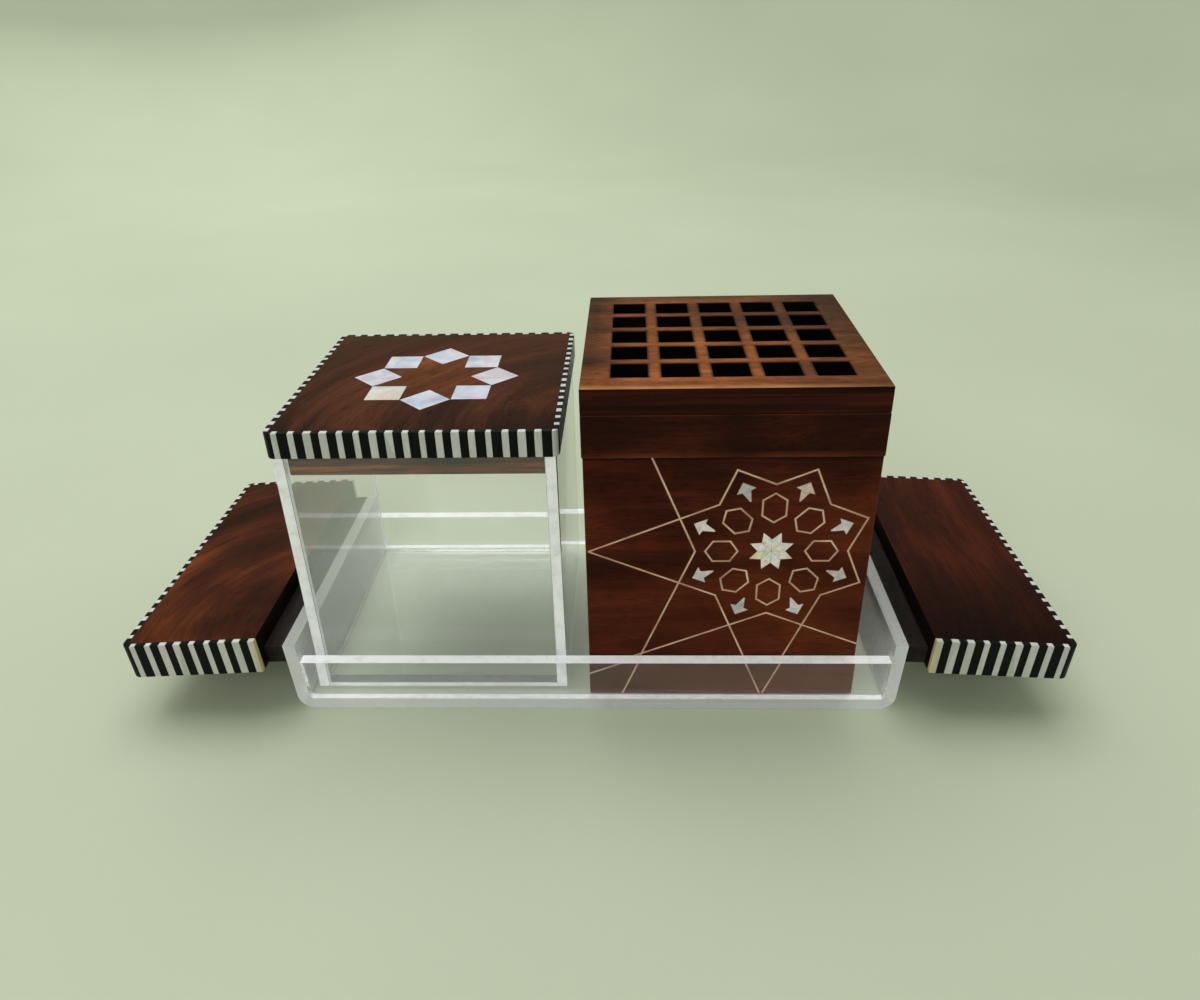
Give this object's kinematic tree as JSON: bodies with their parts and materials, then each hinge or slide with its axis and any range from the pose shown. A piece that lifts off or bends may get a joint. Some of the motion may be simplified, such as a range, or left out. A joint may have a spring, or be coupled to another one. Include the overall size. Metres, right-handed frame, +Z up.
{
  "type": "inlaid wooden incense box set",
  "caption": "Inlaid wooden box with a grille lid and a clear canister with an inlaid lid, on a clear tray with striped wooden handles.",
  "frame": {"origin": "centre of the footprint, on the surface that the tray stands on", "axes": "+X along the tray, from the canister to the wooden box; +Y to the back; +Z up"},
  "size_m": [0.4496, 0.165, 0.168],
  "materials": {
    "clear_acrylic": "clear polished acrylic sheet with bright, slightly frosted cut edges",
    "handle_walnut": "oiled dark walnut with streaky figure, satin",
    "lid_walnut": "dark walnut veneer with fine slanting figure, satin",
    "box_walnut": "reddish-brown walnut with horizontal grain, satin varnish",
    "grille_walnut": "lighter orange-brown walnut, satin, with blackened hole sides",
    "inner_walnut": "plain planed walnut, unvarnished",
    "star_veneer": "orange-brown veneer, satin",
    "ebonised_wood": "black-stained hardwood, satin",
    "bone": "polished camel bone, off-white with faint pores",
    "cream_stringing": "cream bone stringing, flush and polished",
    "mother_of_pearl": "mother of pearl with soft blue, green and pink sheen",
    "dark_brass": "heat-darkened spun brass"
  },
  "bodies": {
    "tray": {"tray_channel": "clear_acrylic", "tray_front_strip": "clear_acrylic", "tray_back_strip": "clear_acrylic", "handle_board_left": "handle_walnut", "handle_board_right": "handle_walnut", "handle_tongue_left": "ebonised_wood", "handle_tongue_right": "ebonised_wood", "handle_bone_blocks_left": "bone", "handle_bone_blocks_right": "bone", "handle_ebony_blocks_left": "ebonised_wood", "handle_ebony_blocks_right": "ebonised_wood"},
    "canister": {"canister_floor": "clear_acrylic", "canister_front_wall": "clear_acrylic", "canister_back_wall": "clear_acrylic", "canister_left_wall": "clear_acrylic", "canister_right_wall": "clear_acrylic"},
    "canister_lid": {"canister_lid_board": "lid_walnut", "canister_lid_plug": "inner_walnut", "canister_lid_bone_blocks": "bone", "canister_lid_ebony_blocks": "ebonised_wood", "canister_lid_pearl_squares": "mother_of_pearl", "canister_lid_star_veneer": "star_veneer"},
    "box": {"box_floor": "box_walnut", "box_front_wall": "box_walnut", "box_back_wall": "box_walnut", "box_left_wall": "box_walnut", "box_right_wall": "box_walnut", "box_front_stringing": "cream_stringing", "box_front_hexagons": "cream_stringing", "box_front_pearl_star": "mother_of_pearl", "box_front_pearl_darts": "mother_of_pearl", "box_liner_front": "inner_walnut", "box_liner_back": "inner_walnut", "box_liner_left": "inner_walnut", "box_liner_right": "inner_walnut", "box_corner_posts": "inner_walnut", "box_heat_shelf": "dark_brass"},
    "ember_cup": {"ember_cup": "dark_brass"},
    "box_lid": {"box_lid_grille_board": "grille_walnut", "box_lid_front_rail": "box_walnut", "box_lid_back_rail": "box_walnut", "box_lid_left_rail": "box_walnut", "box_lid_right_rail": "box_walnut"}
  },
  "joints": [
    {"name": "canister_lift", "type": "slide", "parent": "tray", "child": "canister", "axis": [0, 0, 1], "range_m": [0, 0.06]},
    {"name": "canister_lid_lift", "type": "slide", "parent": "canister", "child": "canister_lid", "axis": [0, 0, 1], "range_m": [0, 0.06]},
    {"name": "box_lift", "type": "slide", "parent": "tray", "child": "box", "axis": [0, 0, 1], "range_m": [0, 0.06]},
    {"name": "box_lid_lift", "type": "slide", "parent": "box", "child": "box_lid", "axis": [0, 0, 1], "range_m": [0, 0.09]},
    {"name": "cup_lift", "type": "slide", "parent": "box", "child": "ember_cup", "axis": [0, 0, 1], "range_m": [0, 0.05]}
  ]
}
